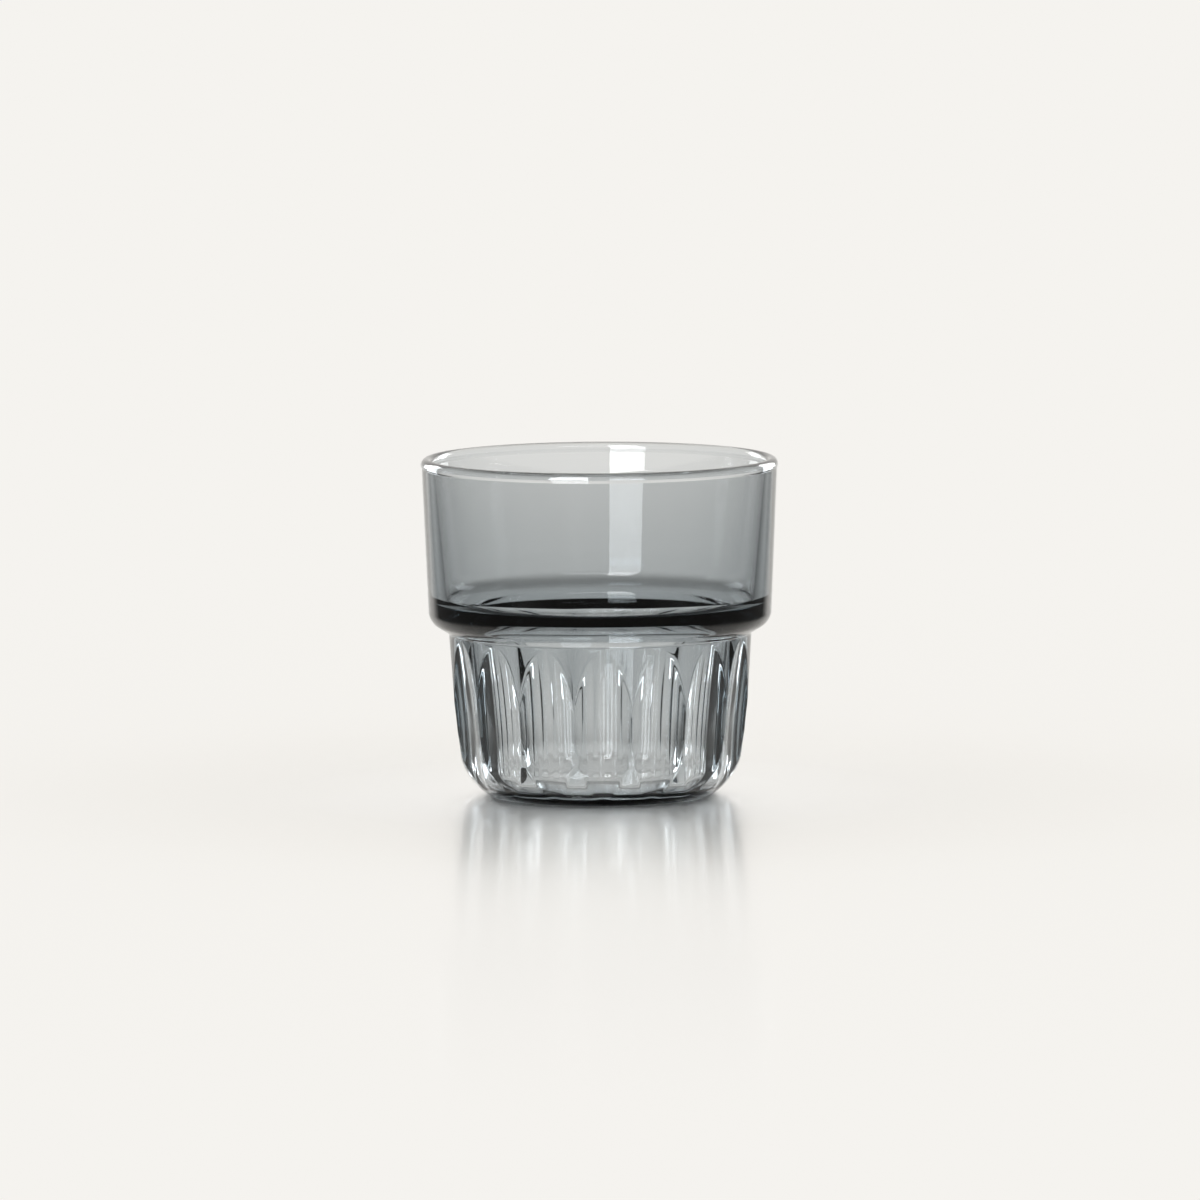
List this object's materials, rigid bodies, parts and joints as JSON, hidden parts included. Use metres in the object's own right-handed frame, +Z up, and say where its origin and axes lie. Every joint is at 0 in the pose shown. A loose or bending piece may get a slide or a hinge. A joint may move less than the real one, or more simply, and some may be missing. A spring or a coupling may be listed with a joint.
{
  "type": "stacking cortado glass",
  "caption": "Small stacking coffee glass: plain tapered band with a beaded rim over a narrower foot with arched hollow flutes, in clear smoke-grey glass.",
  "frame": {"origin": "centre of the base, on the surface that the glass stands on", "axes": "+Z up along the axis of the glass; one flute faces -Y"},
  "size_m": [0.079, 0.079, 0.0747],
  "materials": {
    "smoked_glass": "polished, tinted through"
  },
  "bodies": {
    "root": {"glass_body": "smoked_glass"}
  },
  "joints": []
}
